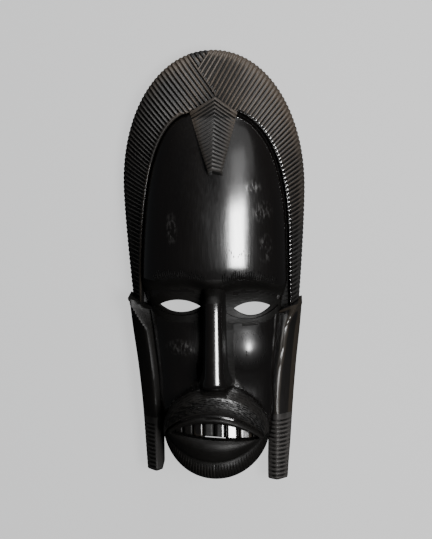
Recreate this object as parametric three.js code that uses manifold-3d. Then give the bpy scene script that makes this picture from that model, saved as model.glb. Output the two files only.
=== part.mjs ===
// A carved ebony face mask, lying on its flat back rim.
// Millimetres. X runs to the viewer's right, Y towards the crown of the hair, Z out of the face.
// While it is carved, Y is 0 at the tip of the longer ear lobe and 400 at the crown. The finished
// mask is then centred on the origin, with its back rim on Z = 0.

import * as THREE from "three";
import { mergeVertices } from "three/addons/utils/BufferGeometryUtils.js";
import Module from "manifold-3d";

const { lerp, smoothstep, degToRad } = THREE.MathUtils;
const { abs, sin, cos, sqrt, exp, sign, hypot } = Math;

// Driving dimensions
const HEIGHT = 400;
const BACK = -6; // the carved forms start behind the back plane, which then trims them flat
const FRONT = 100; // and the cuts start in front of the nose

const CREST = {
  halfWidth: 83.7, // at its widest
  widestY: 275,
  earY: 165, // the hair ends here, behind the ears
  taper: 7, // how much narrower it is at the ears
  power: 2.08, // squareness of the crown's curve
  edgeZ: 14, // thickness of the outer edge
};

// The inner lip of the hair is not quite even, so each side has its own oval.
const LIP = {
  sides: [
    { halfWidth: 68.3, middleY: 128, topY: 349, power: 2.93, taper: 0 },
    { halfWidth: 68.6, middleY: 218, topY: 349, power: 2.57, taper: 0 },
  ],
  height: 7,
  ditch: 3, // how far the face stays inside the lip
};

const GROOVE = { pitch: 4.2, depth: 1.5, notch: 0.7, wall: 3.5, tuck: 12 };

// The parting runs from the crown to a kink and on to the tip of the forelock.
const PARTING = { crown: [-1.6, 399], kink: [-11.2, 384], fanX: -19.3 };

const FORELOCK = {
  tip: [4.5, 360],
  left: [-18.5, 346.5],
  right: [24.2, 345.5],
  ridgeEnd: [1.5, 297],
  end: [4, 297],
  endHalf: 6.5,
  endSlope: 4.5,
  chevrons: 18,
  depth: 1.2,
};

const EYES = [
  { x: -31.6, y: 170.7, up: 8.2, down: 5 },
  { x: 31.7, y: 168.2, up: 6.8, down: 6.2 },
];
const EYE = { halfLength: 19, socketHalf: 25, socketDepth: 3, lid: 2.2 };

const NOSE = { topY: 211, tipY: 100.5 };

const MOUTH = {
  x: -1.5,
  y: 52,
  tilt: 0.085, // the opening falls towards the right
  half: 39.5,
  jawHalf: 49.5,
  curveBack: 25, // how far the corners lie behind the middle
  teethZ: 66,
  gaps: [-38, -29.5, -20, -10.5, -0.5, 9.5, 22, 33.5, 38], // between the uneven teeth
  slit: { from: -17, to: 11, height: 2 },
};

// Pairs are left, right.
const EAR = { tipY: [176.5, 170.5], slope: 9, rimZ: 37 };
const LOBE = { endY: [10, 0], grooves: [11, 14], pitch: 4.15, depth: 1.3 };

const HOLLOW = { middleY: 180, halfHeight: 153, halfWidth: 59, power: 2.6, chinNarrow: 0.74 };

// A smooth curve through a few stations, as a function of their first number.
function through(...stations) {
  const last = stations.length - 1;
  const slope = (i) => {
    const [x0, y0] = stations[Math.max(i - 1, 0)];
    const [x1, y1] = stations[Math.min(i + 1, last)];
    return (y1 - y0) / (x1 - x0);
  };
  return (at) => {
    if (at <= stations[0][0]) return stations[0][1];
    if (at >= stations[last][0]) return stations[last][1];
    let i = 0;
    while (at > stations[i + 1][0]) i += 1;
    const [x0, y0] = stations[i];
    const [x1, y1] = stations[i + 1];
    const span = x1 - x0;
    const t = (at - x0) / span;
    const rise = t * t * (3 - 2 * t);
    const leave = t * (1 - t) * (1 - t) * span * slope(i);
    const arrive = t * t * (t - 1) * span * slope(i + 1);
    return lerp(y0, y1, rise) + leave + arrive;
  };
}

// The height of a round arch over its span, from 1 in the middle to 0 at either side.
function arch(t, power) {
  return sqrt(Math.max(0, 1 - abs(t) ** power));
}

function bump(dx, dy) {
  return exp(-(dx * dx + dy * dy));
}

// Outlines, as half widths at a height

function crownHalf(y, form, bottomY) {
  if (y < form.middleY) {
    const down = Math.max(0, (form.middleY - y) / (form.middleY - bottomY));
    return form.halfWidth - form.taper * down ** 1.4;
  }
  const up = Math.min(1, (y - form.middleY) / (form.topY - form.middleY));
  return form.halfWidth * (1 - up ** form.power) ** (1 / form.power);
}

const OUTLINE = { ...CREST, middleY: CREST.widestY, topY: HEIGHT };
const crestHalf = (y) => crownHalf(y, OUTLINE, CREST.earY);
const lipOval = (side) => LIP.sides[side < 0 ? 0 : 1];
const jawHalf = through([36, 40], [48, 48], [78, 53], [106, 54.5], [125, 56], [148, 58.2], [172, 61]);

function faceHalf(y, side) {
  const lip = lipOval(side);
  const border = { ...lip, halfWidth: lip.halfWidth - LIP.ditch, topY: lip.topY - LIP.ditch };
  return lerp(jawHalf(y), crownHalf(y, border, 0), smoothstep(y, 168, 192));
}

// Heights of the surface over the back plane

const borderZ = through([0, 27], [172, 28], [232, 29], [285, 35], [330, 44], [356, 48]);
const lipZ = (y) => borderZ(y) + LIP.height;
const foreheadZ = through([196, 79], [210, 82], [231, 82.5], [258, 80.5], [288, 74.5], [316, 66], [354, 50]);
const cheekZ = through(
  [30, 48], [70, 52], [92, 54], [107, 58], [121, 61.5], [139, 63], [175, 64.5], [200, 67],
);

// How far a point lies outside an oval.
function outside(x, y, form) {
  if (y < form.middleY) return abs(x) - crownHalf(y, form, CREST.earY);
  const { halfWidth, middleY, topY, power } = form;
  const across = abs(x) / halfWidth;
  const up = (y - middleY) / (topY - middleY);
  const radius = (across ** power + up ** power) ** (1 / power);
  const steepness = hypot(across ** (power - 1) / halfWidth, up ** (power - 1) / (topY - middleY));
  return (radius - 1) / (steepness * radius ** (1 - power));
}

// How far a point of the hair lies on the way from the outline, 0, to the inner lip, 1.
function hairDepth(x, y) {
  const fromOutline = Math.max(0, -outside(x, y, OUTLINE));
  const fromLip = Math.max(0, outside(x, y, lipOval(x)));
  return fromOutline / (fromOutline + fromLip + 1e-6);
}

function hairZ(x, y) {
  const depth = hairDepth(x, y);
  return lerp(CREST.edgeZ, lipZ(y), depth ** 0.85);
}

// The lower edge of the brow, over the width of the face.
const browY = through(
  [-64, 193], [-48, 195.5], [-34, 197.5], [-20, 197.5], [-6, 193], [3, 191.5],
  [13, 193.5], [24, 196], [37, 195], [50, 191], [60, 187],
);

// The face without its nose and mouth: forehead, brow, eye sockets and cheeks.
function faceZ(x, y) {
  const across = x / faceHalf(y, x);
  const border = borderZ(y);
  const forehead = lerp(border, foreheadZ(y), arch(across, 2.35));
  const cheek = lerp(border, cheekZ(y), arch(across, 2.2));
  const eye = EYES[x < 0 ? 0 : 1];
  const side = x - eye.x;
  const socket = 3.5 * bump(side / 21, (y - 184) / 8);
  const lid = 2.5 * bump(side / 19, (y - eye.y) / 7);
  const apple = 2.5 * bump(side / 17, (y - 135) / 20);
  return lerp(cheek - socket + lid + apple, forehead, smoothstep(y, browY(x) - 8, browY(x) + 5));
}

// Solids

const wasm = await Module();
wasm.setup();

function solid(geometry) {
  geometry.deleteAttribute("normal");
  geometry.deleteAttribute("uv");
  const merged = mergeVertices(geometry, 1e-4);
  const mesh = new wasm.Mesh({
    numProp: 3,
    vertProperties: new Float32Array(merged.attributes.position.array),
    triVerts: new Uint32Array(merged.index.array),
  });
  mesh.merge();
  return new wasm.Manifold(mesh);
}

function reshape(geometry, move) {
  const position = geometry.attributes.position;
  for (let i = 0; i < position.count; i += 1) {
    position.setXYZ(i, ...move(position.getX(i), position.getY(i), position.getZ(i)));
  }
  return solid(geometry);
}

// A block whose front is the surface that place(u, v) gives, u and v from 0 to 1. Its back is flat,
// or follows a height of its own.
function slab(across, along, place, back = () => BACK) {
  const block = new THREE.BoxGeometry(1, 1, 1, across, along, 1);
  return reshape(block, (u, v, side) => {
    const [x, y, z] = place(u + 0.5, v + 0.5);
    return [x, y, side > 0 ? z : back(x, y)];
  });
}

// A dome with an upright rim and a flat back. Its front is the surface that place(out, angle) gives,
// out from 0 at its middle to 1 at its rim.
function dome(around, rings, place, back) {
  const ball = new THREE.SphereGeometry(1, around, 2 * rings);
  ball.rotateX(Math.PI / 2);
  return reshape(ball, (x, y, z) => {
    const latitude = Math.acos(Math.min(1, abs(z))) / (Math.PI / 2);
    const front = z > -1e-6;
    const out = front ? latitude : Math.min(1, (latitude * rings) / (rings - 1));
    const point = place(out, Math.atan2(y, x));
    return [point[0], point[1], front ? point[2] : back];
  });
}

function head() {
  const bottomY = 40;
  const topY = 344.5;
  return slab(22, 44, (u, v) => {
    const y = lerp(bottomY, topY, v);
    const across = sin((u - 0.5) * Math.PI * 0.94) / sin(Math.PI * 0.47);
    const x = across * faceHalf(y, across);
    return [x, y, faceZ(x * 0.999, y)];
  });
}

// Hair

function outlineCurve() {
  const points = [];
  for (let i = 0; i < 10; i += 1) {
    const y = lerp(CREST.earY, CREST.widestY, i / 10);
    points.push(new THREE.Vector2(-crestHalf(y), y));
  }
  for (let i = 0; i <= 40; i += 1) {
    const angle = lerp(Math.PI, Math.PI / 2, i / 40);
    const bend = 2 / CREST.power;
    const x = -CREST.halfWidth * abs(cos(angle)) ** bend;
    points.push(new THREE.Vector2(x, CREST.widestY + (HEIGHT - CREST.widestY) * sin(angle) ** bend));
  }
  const mirrored = points.slice(0, -1).reverse();
  mirrored.forEach((point) => points.push(new THREE.Vector2(-point.x, point.y)));
  const curve = new THREE.SplineCurve(points);
  curve.arcLengthDivisions = 1200;
  return curve;
}

function lipLine(side) {
  const points = [];
  for (let i = 0; i <= 24; i += 1) {
    const y = lerp(lipOval(side).topY - 4.5, CREST.earY - 26, (i / 24) ** 1.6);
    points.push([side * crownHalf(y, lipOval(side), CREST.earY), y]);
  }
  return points;
}

// Where a ray meets the nearest stretch of a line.
function meet(from, heading, line) {
  let nearest = Infinity;
  for (let i = 1; i < line.length; i += 1) {
    const [ax, ay] = line[i - 1];
    const along = [line[i][0] - ax, line[i][1] - ay];
    const cross = heading[0] * along[1] - heading[1] * along[0];
    const reach = ((ax - from.x) * along[1] - (ay - from.y) * along[0]) / cross;
    const part = ((ax - from.x) * heading[1] - (ay - from.y) * heading[0]) / cross;
    if (reach > 0 && reach < nearest && part > -0.001 && part < 1.001) nearest = reach;
  }
  return nearest;
}

// The point a third further on along a line than its end.
function beyond(from, to) {
  return [to[0] + (to[0] - from[0]) / 3, to[1] + (to[1] - from[1]) / 3];
}

// One family of grooves. Its rows start on the outline and run inwards, side by side, to an end line.
function hair(outline, from, to, side, slopeAt, endLine) {
  const grooves = Math.round((abs(to - from) * outline.getLength()) / GROOVE.pitch);
  const columns = [0, 0.5, 1, 2, 3];
  return slab(columns.length - 1, 2 * grooves, (u, v) => {
    const column = columns[Math.round(u * (columns.length - 1))];
    const row = Math.round(v * 2 * grooves);
    const start = outline.getPointAt(lerp(from, to, v));
    const slope = degToRad(slopeAt(v));
    const heading = [-side * cos(slope), -sin(slope)];
    const run = meet(start, heading, endLine);
    const valley = row % 2 === 0;
    const inset = valley ? GROOVE.notch : 0;
    const reach = column <= 1 ? lerp(inset, run, column) : run + [GROOVE.wall, GROOVE.tuck][column - 2];
    const x = start.x + heading[0] * reach;
    const y = start.y + heading[1] * reach;
    const endX = start.x + heading[0] * run;
    const endY = start.y + heading[1] * run;
    if (column > 1) return [x, y, Math.min(hairZ(endX, endY) - LIP.height, borderZ(y)) - 2 * (column - 1)];
    return [x, y, hairZ(x, y) - (valley ? GROOVE.depth : 0)];
  });
}

function hairs() {
  const outline = outlineCurve();
  const fractionAt = (x) => {
    let low = 0;
    let high = 1;
    for (let i = 0; i < 40; i += 1) {
      const middle = (low + high) / 2;
      if (outline.getPointAt(middle).x < x) low = middle;
      else high = middle;
    }
    return low;
  };
  const fan = fractionAt(PARTING.fanX);
  const crown = fractionAt(PARTING.crown[0]);
  const leftSlope = through([0, 12], [0.4, 21], [0.6, 37], [0.75, 45], [0.9, 50], [1, 53.5]);
  const fanSlope = through([0, 53], [1, 50]);
  const rightSlope = through([0, 56], [0.08, 60], [0.2, 54], [0.35, 44], [0.55, 28], [1, 12]);
  const { kink } = PARTING;
  const leftEnd = [beyond(FORELOCK.left, FORELOCK.tip), FORELOCK.left, ...lipLine(-1)];
  const rightEnd = [beyond(FORELOCK.tip, kink), FORELOCK.tip, FORELOCK.right, ...lipLine(1)];
  return [
    hair(outline, 0, fan, -1, leftSlope, leftEnd),
    hair(outline, fan - 0.003, crown - 0.003, -1, fanSlope, [PARTING.crown, beyond(PARTING.crown, kink)]),
    hair(outline, crown, 1, 1, rightSlope, rightEnd),
  ];
}

// A tongue of hair over the middle of the forehead, cut across with chevrons.
function forelock() {
  const rows = 2 * FORELOCK.chevrons;
  const columns = 4;
  return slab(columns, rows + 1, (u, v) => {
    const row = Math.round((1 - v) * (rows + 1));
    const down = Math.min(1, row / rows);
    const out = abs(2 * u - 1);
    const corner = u < 0.5 ? FORELOCK.left : FORELOCK.right;
    const endX = FORELOCK.end[0] + sign(u - 0.5) * FORELOCK.endHalf;
    const middle = [0, 1].map((i) => lerp(FORELOCK.tip[i], FORELOCK.ridgeEnd[i], down));
    const border = [lerp(corner[0], endX, down), lerp(corner[1], FORELOCK.end[1] - 2, down)];
    const x = lerp(middle[0], border[0], out);
    const y = lerp(middle[1], border[1], out);
    const under = Math.max(faceZ(x, Math.min(y, 342)), hairZ(x, y));
    if (row > rows) return [x, y - FORELOCK.endSlope, faceZ(x, y - FORELOCK.endSlope) - 1];
    const lift = lerp(1, 7, down) + lerp(2.5, 0, out ** 1.5);
    return [x, y, under + lift - (row % 2 ? FORELOCK.depth : 0)];
  });
}

// Face

function nose() {
  const half = through([100.5, 16], [105, 15], [112, 12.5], [132, 11.4], [180, 11], [192, 13], [211, 20]);
  const ridge = through([100.5, 87], [104, 91], [110, 91], [140, 85.5], [176, 79.5], [192, 77.5], [211, 76]);
  return slab(8, 10, (u, v) => {
    const y = lerp(NOSE.tipY, NOSE.topY, v ** 1.5);
    const across = 2 * u - 1;
    const x = across * half(y);
    const foot = faceZ(half(y), y) - 6;
    return [x, y, lerp(foot, ridge(y), arch(across, 3)) - x * x / 60];
  });
}

function mouthDrop(x) {
  return MOUTH.curveBack * abs((x - MOUTH.x) / MOUTH.jawHalf) ** 2.2;
}

// The line that the mouth opens along.
function mouthLine(x) {
  return MOUTH.y - MOUTH.tilt * (x - MOUTH.x);
}

// Moustache, lips and bearded chin, as rings around the mouth. A ring has its half width, how far
// it rises and falls, the sharpness of its corners, its height above and below the mouth, and how
// much of the mouth's tilt it takes above and below.
function muzzle() {
  const { half, jawHalf: jaw } = MOUTH;
  const rings = [
    [0, 0, 0, 1.8, MOUTH.teethZ - 4, MOUTH.teethZ - 4, 1, 1],
    [half, 13.5, 0.6, 1.8, MOUTH.teethZ - 4, MOUTH.teethZ - 4, 1, 1],
    [half + 0.5, 14.3, 1.4, 1.8, 74, 73.5, 1, 1],
    [half + 3.5, 18.5, 10, 1.75, 77.5, 76, 1, 0.5],
    [half + 5.5, 22.4, 22, 1.65, 75, 70, 0.9, 0],
    [half + 6.2, 23.8, 23.2, 1.62, 78, 67, 0.85, 0],
    [half + 7.5, 33, 31.5, 1.4, 77, 67, 0.4, 0],
    [half + 9, 42, 39, 1.1, 70, 62, 0, 0],
    [jaw, 49, 43.8, 0.95, 50, 50, 0, 0],
  ];
  return dome(36, rings.length - 1, (out, angle) => {
    const ring = rings[Math.round(out * (rings.length - 1))];
    const [width, rise, fall, corner, above, below, tiltAbove, tiltBelow] = ring;
    const upper = smoothstep(sin(angle), -0.25, 0.25);
    const reach = (sin(angle) > 0 ? rise : -fall) * abs(sin(angle)) ** corner;
    const x = MOUTH.x + width * cos(angle);
    const y = lerp(MOUTH.y, mouthLine(x), lerp(tiltBelow, tiltAbove, upper)) + reach;
    const height = lerp(below, above, upper) - mouthDrop(x);
    const sunk = out > 0.99 && y > MOUTH.y + 8 ? faceZ(x, y) - 1.5 : Infinity;
    return [x, y, Math.min(height, sunk)];
  }, BACK);
}

function tooth(from, to) {
  return slab(3, 2, (u, v) => {
    const x = MOUTH.x + lerp(from + 0.3, to - 0.3, u);
    const y = mouthLine(x) + lerp(-1, 17, v);
    const round = 2.2 * abs(2 * u - 1) ** 3 + (v === 0 ? 1 : 0);
    return [x, y, MOUTH.teethZ + 2.5 - round - mouthDrop(x)];
  }, () => 40);
}

// The ear is a slanting ledge over a hollow, and its long lobe runs down beside the face.
function ear(side) {
  const hand = side < 0 ? 0 : 1;
  const lobeOuter = [
    [[0, 67], [19, 67.8], [37, 68.6], [74, 70.2]],
    [[0, 63.8], [19, 65.3], [37, 67], [74, 69.8]],
  ][hand];
  const lobeInner = [
    [[0, 53], [20, 52.7], [46, 52.2], [74, 50]],
    [[0, 45.5], [20, 45.7], [41, 46.3], [74, 47]],
  ][hand];
  const crestStations = [
    [[0, 0.62], [44, 0.66], [68, 0.66], [90, 0.6], [137, 0.55], [151, 0.52], [161, 0.28], [170, 0.06]],
    [[0, 0.55], [64, 0.64], [79, 0.66], [108, 0.64], [126, 0.58], [140, 0.56], [156, 0.48], [172, 0.12]],
  ][hand];
  const outer = through(...lobeOuter, [112, 73.3], [149, 77.6], [180, 80.5]);
  const inner = through(...lobeInner, [112, 49.2], [149, 52.5], [180, 57]);
  const ridgeAt = through(...crestStations);
  const ridgeZ = through([0, 29], [40, 33], [112, 38], [160, 38]);
  const endY = LOBE.endY[hand];
  const tipY = EAR.tipY[hand];
  const across = [0, 0.25, 0.5, 0.75, 1];
  const lobeRows = 2 * LOBE.grooves[hand] + 2;
  const rows = lobeRows + 12;
  const grooveTop = endY + LOBE.pitch * (LOBE.grooves[hand] + 0.5);
  return slab(across.length - 1, rows, (u, v) => {
    const inwards = side < 0 ? u : 1 - u;
    const part = across[Math.round(inwards * (across.length - 1))];
    const row = Math.round(v * rows);
    const level = row <= lobeRows
      ? lerp(endY, grooveTop, row / lobeRows)
      : lerp(grooveTop, tipY, (row - lobeRows) / (rows - lobeRows));
    const y = level - EAR.slope * part * smoothstep(level, 120, tipY);
    const fromEnd = level - endY;
    const roundEnd = fromEnd < 5 ? lerp(0.55, 1, sqrt(1 - (1 - fromEnd / 5) ** 2)) : 1;
    const middle = (outer(level) + inner(level)) / 2;
    const x = middle + (lerp(outer(level), inner(level), part) - middle) * roundEnd;
    const crest = ridgeAt(level);
    const slope = part < crest ? part / crest : (1 - part) / (1 - crest);
    const foot = part < crest ? 20 : borderZ(y) - 4;
    const groove = row < lobeRows && row % 2 === 1 && part < 0.9 ? LOBE.depth : 0;
    const rim = row === rows ? EAR.rimZ : 0;
    const front = lerp(foot, ridgeZ(level), slope ** 0.8) - groove;
    return [side * x, y, Math.max(front, rim)];
  });
}

// Cuts

// A pointed almond, cut from the front as deep as its back allows.
function almond({ x, y, up, down }, halfLength, grow, back) {
  return slab(10, 2, (u, v) => {
    const along = 2 * u - 1;
    const rise = v < 0.5 ? -(down + grow) : v > 0.5 ? up + grow : 0;
    return [x + along * halfLength, y + rise * (1.02 - abs(along) ** 2.1), FRONT];
  }, back);
}

function hollow() {
  const depth = through([26, 38], [66, 46], [106, 47], [158, 49], [188, 55], [220, 70], [258, 68], [333, 44]);
  return dome(26, 5, (out, angle) => {
    const reach = sin((out * Math.PI) / 2) ** 0.9;
    const round = 2 / HOLLOW.power;
    const x = HOLLOW.halfWidth * reach * sign(cos(angle)) * abs(cos(angle)) ** round;
    const y = HOLLOW.middleY + HOLLOW.halfHeight * reach * sign(sin(angle)) * abs(sin(angle)) ** round;
    const narrow = lerp(HOLLOW.chinNarrow, 1, smoothstep(y, 16, 116));
    return [x * narrow, y, depth(y) * arch(reach, 3.4)];
  }, BACK - 10);
}

function mask() {
  let block = head();
  EYES.forEach((eye) => {
    const socket = almond(eye, EYE.socketHalf, EYE.lid, (x, y) => faceZ(x, y) - EYE.socketDepth);
    block = block.subtract(socket);
  });
  const forms = [...hairs(), forelock(), nose(), muzzle(), ear(-1), ear(1)];
  for (let i = 1; i < MOUTH.gaps.length; i += 1) forms.push(tooth(MOUTH.gaps[i - 1], MOUTH.gaps[i]));
  forms.forEach((form) => {
    block = block.add(form);
  });
  const slit = MOUTH.slit;
  const cuts = [
    hollow(),
    slab(1, 1, (u, v) => [lerp(-120, 120, u), lerp(-20, 420, v), 0], () => 10 * BACK),
    slab(1, 1, (u, v) => {
      const x = lerp(slit.from, slit.to, u);
      return [x, mouthLine(x) + slit.height * v, FRONT];
    }),
  ];
  EYES.forEach((eye) => cuts.push(almond(eye, EYE.halfLength, 0, () => BACK)));
  cuts.forEach((cut) => {
    block = block.subtract(cut);
  });
  return block;
}

function toGeometry(block) {
  const mesh = block.getMesh();
  const geometry = new THREE.BufferGeometry();
  geometry.setAttribute("position", new THREE.BufferAttribute(mesh.vertProperties.slice(), 3));
  geometry.setIndex(new THREE.BufferAttribute(mesh.triVerts.slice(), 1));
  geometry.computeVertexNormals();
  return geometry;
}

const ebony = new THREE.MeshStandardMaterial({ color: 0x1c1815, roughness: 0.35, metalness: 0 });

const piece = new THREE.Mesh(toGeometry(mask()), ebony);
piece.name = "mask";
piece.geometry.computeBoundingBox();
const box = piece.geometry.boundingBox;
piece.position.set(-(box.min.x + box.max.x) / 2, -(box.min.y + box.max.y) / 2, -box.min.z);

const group = new THREE.Group();
group.add(piece);
export default group;
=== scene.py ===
# %% [markdown]
# # A carved ebony face mask
# The real thing is one block of black ebony. A carver roughed out the outline, hollowed the back,
# cut the hair into ridges with a gouge and polished the face until it shone.
# The frame already holds the block at its true size, with the same forms in a few thousand flat faces.
# Here the block is carved again with fine faces, and then given its finish, its light and its camera.
# The photograph shows the mask upright. A mask has no foot, so here it lies on its flat back rim and
# the camera looks down on it.

# %% Load the frame
import math
import random

import bmesh
import bpy
from mathutils import Matrix, Vector


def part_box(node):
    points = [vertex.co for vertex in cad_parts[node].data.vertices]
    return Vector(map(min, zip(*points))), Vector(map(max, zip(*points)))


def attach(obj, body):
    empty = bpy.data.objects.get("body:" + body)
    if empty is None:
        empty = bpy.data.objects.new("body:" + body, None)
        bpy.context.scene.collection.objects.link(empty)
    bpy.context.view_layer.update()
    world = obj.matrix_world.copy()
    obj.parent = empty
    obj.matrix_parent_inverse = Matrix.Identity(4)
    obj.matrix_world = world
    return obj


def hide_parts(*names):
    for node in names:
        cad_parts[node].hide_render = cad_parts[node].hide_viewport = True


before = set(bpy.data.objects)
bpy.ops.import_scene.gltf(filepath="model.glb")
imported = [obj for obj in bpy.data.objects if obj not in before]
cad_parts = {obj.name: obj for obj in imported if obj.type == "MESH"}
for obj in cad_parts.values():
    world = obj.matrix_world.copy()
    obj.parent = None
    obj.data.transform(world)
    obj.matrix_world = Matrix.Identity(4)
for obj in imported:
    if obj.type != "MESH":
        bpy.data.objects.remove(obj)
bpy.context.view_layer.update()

# %% [markdown]
# ## Sizes
# The frame gives the height and the width. Everything else is a size of the carving in millimetres.
# While it is carved, Y is 0 at the tip of the longer ear lobe and HEIGHT at the crown, X runs to the
# viewer's right and Z comes out of the face. The finished block is then moved over the frame's node
# and scaled to metres.
# The hair and its lip are flattened ovals. Such an oval has a greatest half width, the height at which
# it is that wide, a top and a bottom, how much it narrows below, and the power of its curve above,
# where 2 is an ellipse and more is squarer.

# %% Driving sizes
MM = 0.001
low_corner, high_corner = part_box("mask")
HEIGHT = (high_corner.y - low_corner.y) / MM
HALF_WIDTH = (high_corner.x - low_corner.x) / 2 / MM
BACK = -6  # the carved forms start behind the back plane, which then trims them flat
FRONT = 100  # and the cuts start in front of the nose

CREST = {"half": HALF_WIDTH, "middle": 275, "top": HEIGHT, "bottom": 165, "taper": 7, "power": 2.08}
LIPS = (  # left, right
    {"half": 68.3, "middle": 128, "top": 349, "bottom": 0, "taper": 0, "power": 2.93},
    {"half": 68.6, "middle": 218, "top": 349, "bottom": 0, "taper": 0, "power": 2.57},
)
EDGE_Z = 14  # thickness of the hair's outer edge
LIP_RISE = 7  # height of the hair's lip over the ditch beside it
DITCHES = (1.3, 2.3)  # width of that ditch, left and right
GROOVE_PITCH = 4.2
GROOVE_DEPTH = 2
print(f"carving {HEIGHT:.1f} mm high and {2 * HALF_WIDTH:.1f} mm wide")

# %% [markdown]
# ## Smooth curves from a few stations
# A carver checks the block with a few templates and works smoothly from one to the next.
# `through` does the same with numbers: it gives a smooth curve through a handful of stations.
# `arch` is the round section of a forehead or a nose, `bump` is a soft swelling, and `soft_max` lets
# one form run into another without a crease.


# %% Curves
def lerp(start, end, part):
    return start + (end - start) * part


def smoothstep(value, low, high):
    part = min(1, max(0, (value - low) / (high - low)))
    return part * part * (3 - 2 * part)


def through(*stations):
    last = len(stations) - 1
    slopes = []
    for i in range(last + 1):
        before, after = stations[max(i - 1, 0)], stations[min(i + 1, last)]
        slopes.append((after[1] - before[1]) / (after[0] - before[0]))

    def curve(at):
        if at <= stations[0][0]:
            return stations[0][1]
        if at >= stations[last][0]:
            return stations[last][1]
        i = 0
        while at > stations[i + 1][0]:
            i += 1
        span = stations[i + 1][0] - stations[i][0]
        part = (at - stations[i][0]) / span
        leave = part * (1 - part) ** 2 * span * slopes[i]
        arrive = part * part * (part - 1) * span * slopes[i + 1]
        return lerp(stations[i][1], stations[i + 1][1], part * part * (3 - 2 * part)) + leave + arrive

    return curve


def arch(part, power):
    """The height of an arch of height 1, part of the way out from its middle."""
    return math.sqrt(max(0, 1 - abs(part) ** power))


def bump(across, along):
    return math.exp(-(across * across + along * along))


def soft_max(first, second, width):
    """The greater of two heights, with the crease between them filled round."""
    near = max(0, width - abs(first - second))
    return max(first, second) + near * near / (4 * width)


print("halfway out, a round arch still has", round(arch(0.5, 2), 2), "of its height")

# %% [markdown]
# ## Outlines and heights
# The hood of hair and its inner lip follow one rounded power curve above their widest height, and run
# down to the ears below it. They could be traced point by point, but a few sizes keep the curve clean.
# The lip was cut by eye and is not quite even, so each side of it has an oval of its own.
# The face has a border that stands low beside the hair, and rises from it in a round arch to the
# forehead and the cheeks. The brow is where the one gives way to the other.


# %% Outlines
def oval_half(y, oval):
    """The half width of an oval at a height."""
    if y < oval["middle"]:
        down = (oval["middle"] - y) / (oval["middle"] - oval["bottom"])
        return oval["half"] - oval["taper"] * down ** 1.4
    up = min(1, (y - oval["middle"]) / (oval["top"] - oval["middle"]))
    return oval["half"] * (1 - up ** oval["power"]) ** (1 / oval["power"])


def outside(x, y, oval):
    """How far a point lies outside an oval, less than 0 inside it."""
    if y < oval["middle"]:
        return abs(x) - oval_half(y, oval)
    power = oval["power"]
    rise = oval["top"] - oval["middle"]
    across = abs(x) / oval["half"]
    up = (y - oval["middle"]) / rise
    radius = (across ** power + up ** power) ** (1 / power)
    steepness = math.hypot(across ** (power - 1) / oval["half"], up ** (power - 1) / rise)
    return (radius - 1) / (steepness * radius ** (1 - power))


def hand(x):
    """0 on the left side and 1 on the right, to pick one of a pair."""
    return 0 if x < 0 else 1


BORDERS = [
    {**lip, "half": lip["half"] - ditch, "top": lip["top"] - ditch} for lip, ditch in zip(LIPS, DITCHES)
]
jaw_half = through(
    (36, 40), (48, 48), (78, 53), (106, 54.5), (125, 56), (148, 58.2), (172, 61)
)


def face_half(y, x):
    """The face's half width: the jaw's below the ears' tips, and the hair's above them."""
    return lerp(jaw_half(y), oval_half(y, BORDERS[hand(x)]), smoothstep(y, 168, 192))


print("the face is", round(face_half(231, -1) + face_half(231, 1), 1), "mm wide at the forehead")

# %% Heights
border_z = through((0, 27), (172, 28), (232, 29), (285, 35), (330, 44), (356, 48))
forehead_z = through((196, 79), (210, 82), (231, 82.5), (258, 80.5), (288, 74.5), (316, 66), (354, 50))
cheek_z = through(
    (30, 48), (70, 52), (92, 54), (107, 58), (121, 61.5), (134, 62.8),
    (149, 60.5), (157, 57.4), (165, 56), (177, 57.6), (188, 62), (200, 67),
)
EYES = (  # left, right
    {"x": -31.6, "y": 170.7, "up": 5.9, "down": 5.8, "hole": (-51.2, -12.6)},
    {"x": 31.7, "y": 168.2, "up": 5.4, "down": 7.2, "hole": (17.4, 51.2)},
)
APPLES = ({"x": -30, "y": 131, "rise": 2.4}, {"x": 33.5, "y": 132.3, "rise": 5.8})  # of the cheeks
APPLE_INNER, APPLE_OUTER = 14, 20  # their reach towards the nose and towards the ear
APPLE_HEIGHT = 16
FOREHEAD_ARCH, CHEEK_ARCH = 2.35, 2.2  # the power of the arch, 2 is round
LEDGE_FOOT, LEDGE_TOP = -9, 5  # where the brow's ledge begins and ends, from the line of the brow
brow_y = through(
    (-64, 193), (-48, 195.5), (-34, 197.5), (-20, 197.5), (-6, 193), (3, 191.5),
    (13, 193.5), (24, 196), (37, 195), (50, 191), (60, 187),
)


def hair_z(x, y):
    from_outline = max(0, -outside(x, y, CREST))
    from_lip = max(0, outside(x, y, LIPS[hand(x)]))
    inwards = from_outline / (from_outline + from_lip + 1e-6)
    return lerp(EDGE_Z, border_z(y) + LIP_RISE, inwards ** 0.85)


def face_z(x, y):
    across = x / face_half(y, x)
    border = border_z(y)
    forehead = lerp(border, forehead_z(y), arch(across, FOREHEAD_ARCH))
    cheek = lerp(border, cheek_z(y), arch(across, CHEEK_ARCH))
    apple = APPLES[hand(x)]
    side = abs(x) - abs(apple["x"])
    reach = APPLE_INNER if side < 0 else APPLE_OUTER
    swelling = apple["rise"] * bump(side / reach, (y - apple["y"]) / APPLE_HEIGHT)
    brow = smoothstep(y, brow_y(x) + LEDGE_FOOT, brow_y(x) + LEDGE_TOP)
    return lerp(cheek + swelling, forehead, brow)


print("forehead stands", round(face_z(0, 231), 1), "mm over the back, cheeks", round(face_z(30, 135), 1))

# %% [markdown]
# ## Blocks to join and cutters to take away
# Wood is only ever taken away, but a computer joins and cuts equally well. So each form of the mask is
# a closed block of its own, and they are joined one after another with Boolean modifiers.
# A `slab` is a flat grid, extruded into a block, whose front is then moved to a surface.
# A `dome` is a sphere pressed flat behind, with its front moved to rings around a middle.
# Each face remembers one of six finishes, and the Boolean carries it through to the finished block.

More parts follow.
